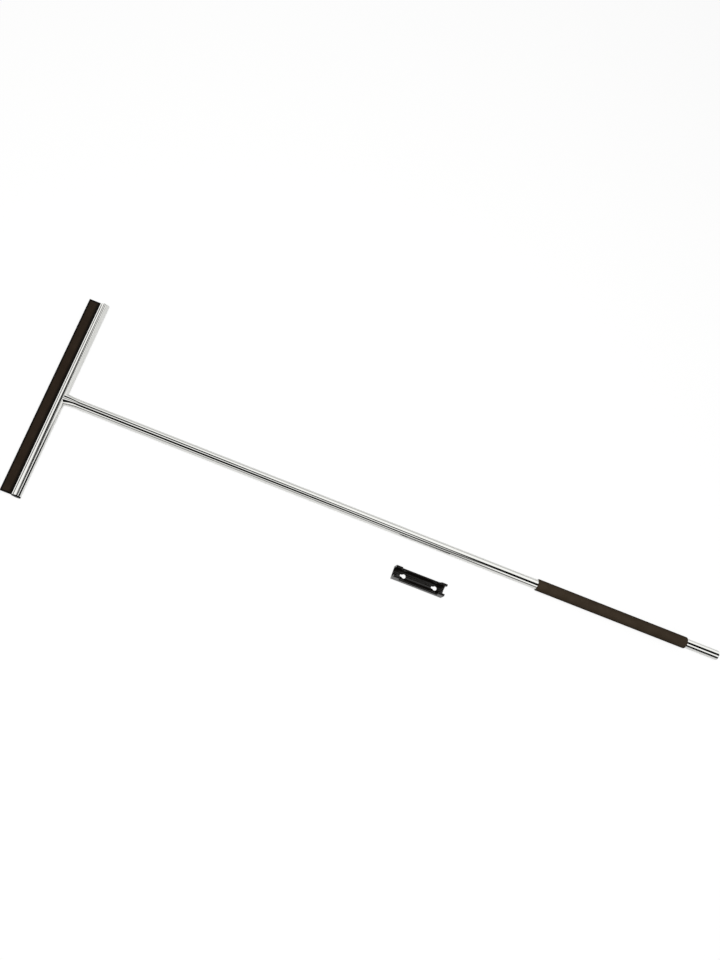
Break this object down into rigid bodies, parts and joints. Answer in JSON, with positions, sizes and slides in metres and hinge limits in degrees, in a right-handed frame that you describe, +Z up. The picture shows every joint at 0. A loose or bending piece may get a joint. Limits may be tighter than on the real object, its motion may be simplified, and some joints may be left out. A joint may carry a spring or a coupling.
{
  "type": "floor squeegee",
  "caption": "Floor squeegee lying flat: chrome T head with a slide-in rubber blade, long chrome tube handle with a soft grip sleeve, and a loose snap-in wall clip with keyholes.",
  "frame": {"origin": "middle of the whole length and of the head, on the floor that the squeegee and its clip lie on", "axes": "+X from the head to the free end of the handle, +Y along the head to the upper end in the picture, +Z up from the floor"},
  "size_m": [1.158, 0.3338, 0.02],
  "materials": {
    "chrome_plate": "mirror-bright chrome plate",
    "bare_brass": "turned, unplated",
    "grip_foam": "soft matte sleeve",
    "blade_rubber": "matte, brown-black",
    "black_plastic": "moulded, satin",
    "clip_plastic": "moulded, half gloss"
  },
  "bodies": {
    "squeegee": {"head_profile": "chrome_plate", "neck_socket": "chrome_plate", "neck_spigot": "bare_brass", "handle_tube": "chrome_plate", "grip_sleeve": "grip_foam", "handle_end_cap": "chrome_plate", "head_plug": "black_plastic"},
    "blade": {"blade_strip": "blade_rubber", "strip_plug": "black_plastic"},
    "clip": {"wall_clip": "clip_plastic"}
  },
  "joints": [
    {"name": "blade_slide", "type": "slide", "parent": "squeegee", "child": "blade", "axis": [0, -1, 0], "range_m": [0, 0.335]},
    {"name": "clip_lift", "type": "slide", "parent": "squeegee", "child": "clip", "axis": [0, 0, 1], "range_m": [0, 0.15]}
  ]
}
